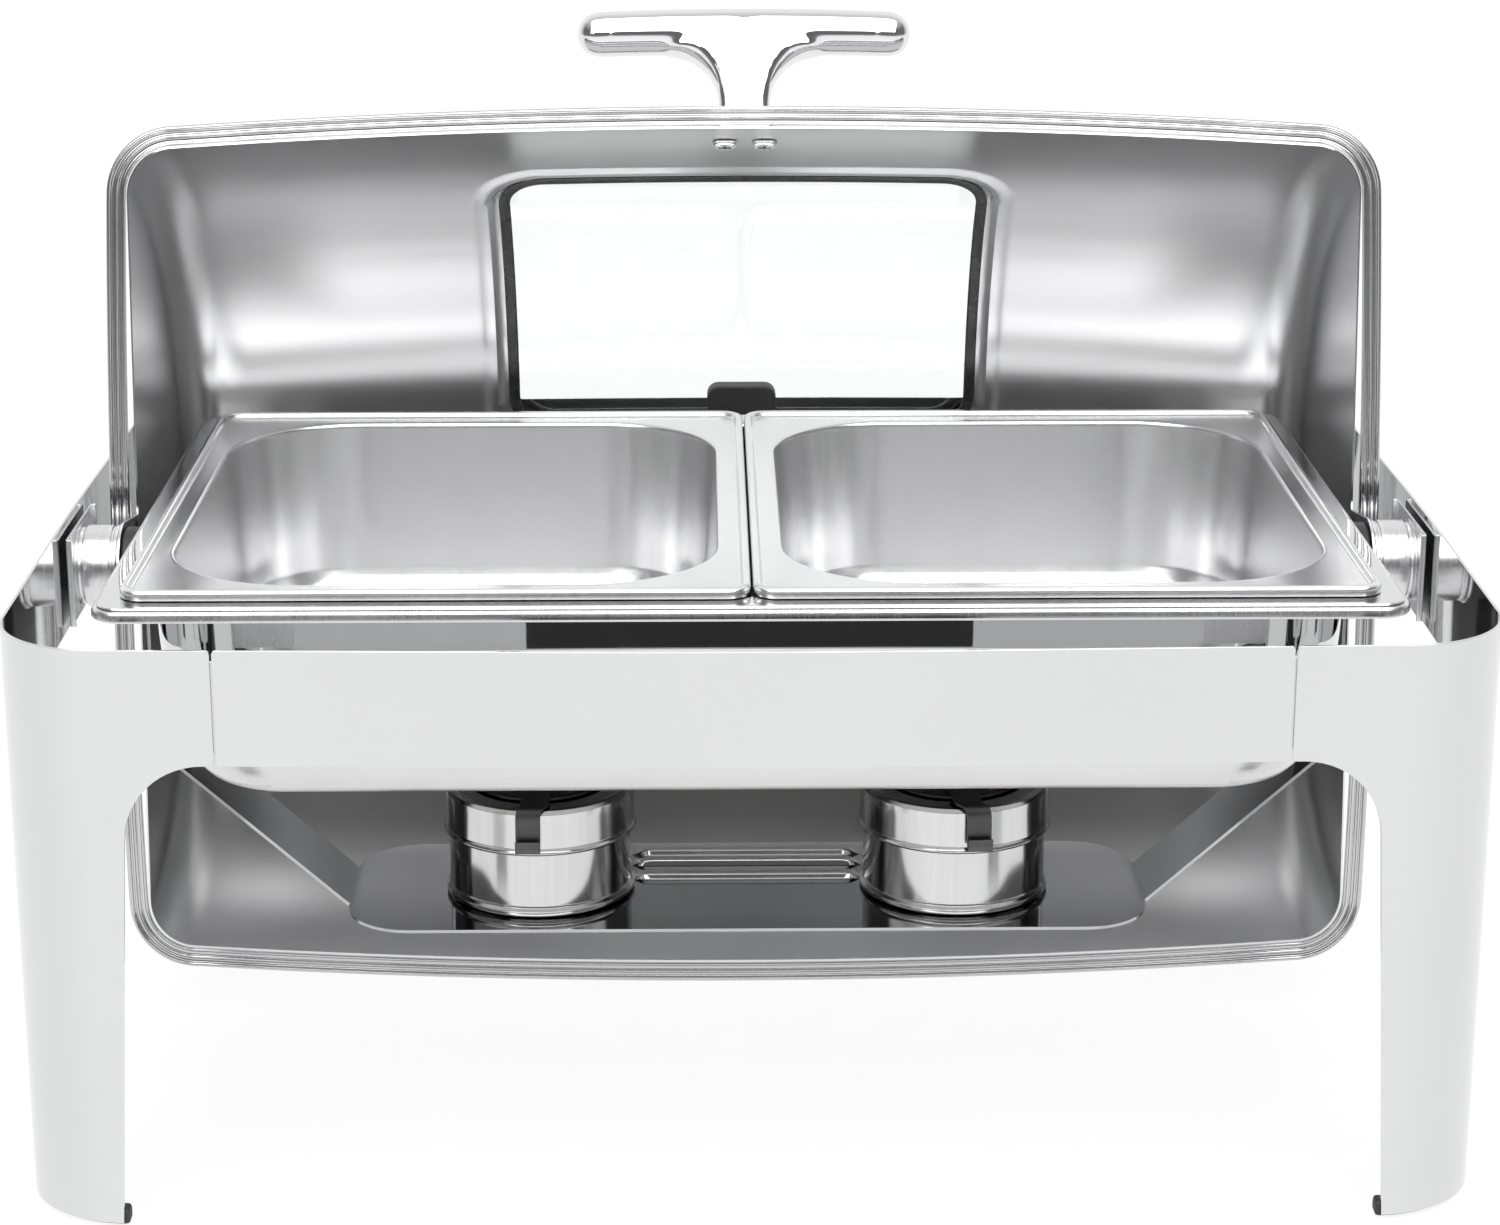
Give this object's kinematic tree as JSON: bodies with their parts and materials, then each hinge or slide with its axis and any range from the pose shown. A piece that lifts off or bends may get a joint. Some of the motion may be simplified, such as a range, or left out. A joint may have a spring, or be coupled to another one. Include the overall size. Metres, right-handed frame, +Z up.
{
  "type": "roll-top chafing dish",
  "caption": "Roll-top chafing dish: food pans in a water pan on a legged frame, a rolling domed lid with a window and handle, and fuel burners on a hanging shelf below.",
  "frame": {"origin": "on the table, under the middle of the lid's axle", "axes": "+Z up, front towards -Y, the lid's axle along X"},
  "size_m": [0.625, 0.4582, 0.4709],
  "materials": {
    "mirror_steel": "mirror polished",
    "satin_steel": "fine satin",
    "lid_steel": "polished outside, finely brushed inside",
    "chrome": "polished",
    "dark_steel": "darkened by heat",
    "black_rubber": "matt",
    "clear_glass": "clear"
  },
  "bodies": {
    "frame": {"side_frame_left": "mirror_steel", "side_frame_right": "mirror_steel", "front_band": "mirror_steel", "rear_band": "mirror_steel", "fuel_hanger": "mirror_steel", "band_splice_front_left": "satin_steel", "band_splice_front_right": "satin_steel", "band_splice_rear_left": "satin_steel", "band_splice_rear_right": "satin_steel", "hinge_plate_left": "satin_steel", "hinge_plate_right": "satin_steel", "hinge_boss_left": "satin_steel", "hinge_boss_right": "satin_steel", "shaft_nut_left": "satin_steel", "shaft_nut_right": "satin_steel", "pan_carrier": "satin_steel", "pivot_shaft_left": "chrome", "pivot_shaft_right": "chrome", "foot_front_left": "black_rubber", "foot_front_right": "black_rubber", "foot_rear_left": "black_rubber", "foot_rear_right": "black_rubber", "friction_spacer_left": "black_rubber", "friction_spacer_right": "black_rubber", "rear_bumper": "black_rubber", "front_pad": "black_rubber"},
    "lid": {"lid_shell": "lid_steel", "lid_rim": "mirror_steel", "window_glass": "clear_glass", "window_gasket": "black_rubber", "lid_handle": "chrome", "handle_screw_left": "chrome", "handle_screw_right": "chrome", "lid_arm_left": "satin_steel", "lid_arm_right": "satin_steel", "arm_rivet_left_front": "satin_steel", "arm_rivet_left_rear": "satin_steel", "arm_rivet_right_front": "satin_steel", "arm_rivet_right_rear": "satin_steel"},
    "water_pan": {"water_pan": "mirror_steel"},
    "food_pan_left": {"food_pan_left": "satin_steel"},
    "food_pan_right": {"food_pan_right": "satin_steel"},
    "burner_left": {"burner_cup_left": "chrome"},
    "burner_cap_left": {"burner_cap_left": "chrome"},
    "burner_damper_left": {"burner_damper_left": "dark_steel", "damper_rivet_left": "chrome"},
    "burner_right": {"burner_cup_right": "chrome"},
    "burner_cap_right": {"burner_cap_right": "chrome"},
    "burner_damper_right": {"burner_damper_right": "dark_steel", "damper_rivet_right": "chrome"}
  },
  "joints": [
    {"name": "lid_roll", "type": "hinge", "parent": "frame", "child": "lid", "pos_m": [0, 0, 0.2275], "axis": [-1, 0, 0], "range_deg": [-97.1, 36]},
    {"name": "water_pan_lift", "type": "slide", "parent": "frame", "child": "water_pan", "axis": [0, 0, 1], "range_m": [0, 0.025]},
    {"name": "food_pan_left_lift", "type": "slide", "parent": "water_pan", "child": "food_pan_left", "axis": [0, 0, 1], "range_m": [0, 0.04]},
    {"name": "food_pan_right_lift", "type": "slide", "parent": "water_pan", "child": "food_pan_right", "axis": [0, 0, 1], "range_m": [0, 0.04]},
    {"name": "burner_left_slide", "type": "slide", "parent": "frame", "child": "burner_left", "axis": [0, -1, 0], "range_m": [0, 0.15]},
    {"name": "burner_cap_left_lift", "type": "slide", "parent": "burner_left", "child": "burner_cap_left", "axis": [0, 0, 1], "range_m": [0, 0.03]},
    {"name": "damper_left_turn", "type": "hinge", "parent": "burner_cap_left", "child": "burner_damper_left", "pos_m": [-0.0985, 0, 0.0675], "axis": [0, 0, 1], "range_deg": [-40, 40]},
    {"name": "burner_right_slide", "type": "slide", "parent": "frame", "child": "burner_right", "axis": [0, -1, 0], "range_m": [0, 0.15]},
    {"name": "burner_cap_right_lift", "type": "slide", "parent": "burner_right", "child": "burner_cap_right", "axis": [0, 0, 1], "range_m": [0, 0.03]},
    {"name": "damper_right_turn", "type": "hinge", "parent": "burner_cap_right", "child": "burner_damper_right", "pos_m": [0.0985, 0, 0.0675], "axis": [0, 0, 1], "range_deg": [-40, 40]}
  ]
}
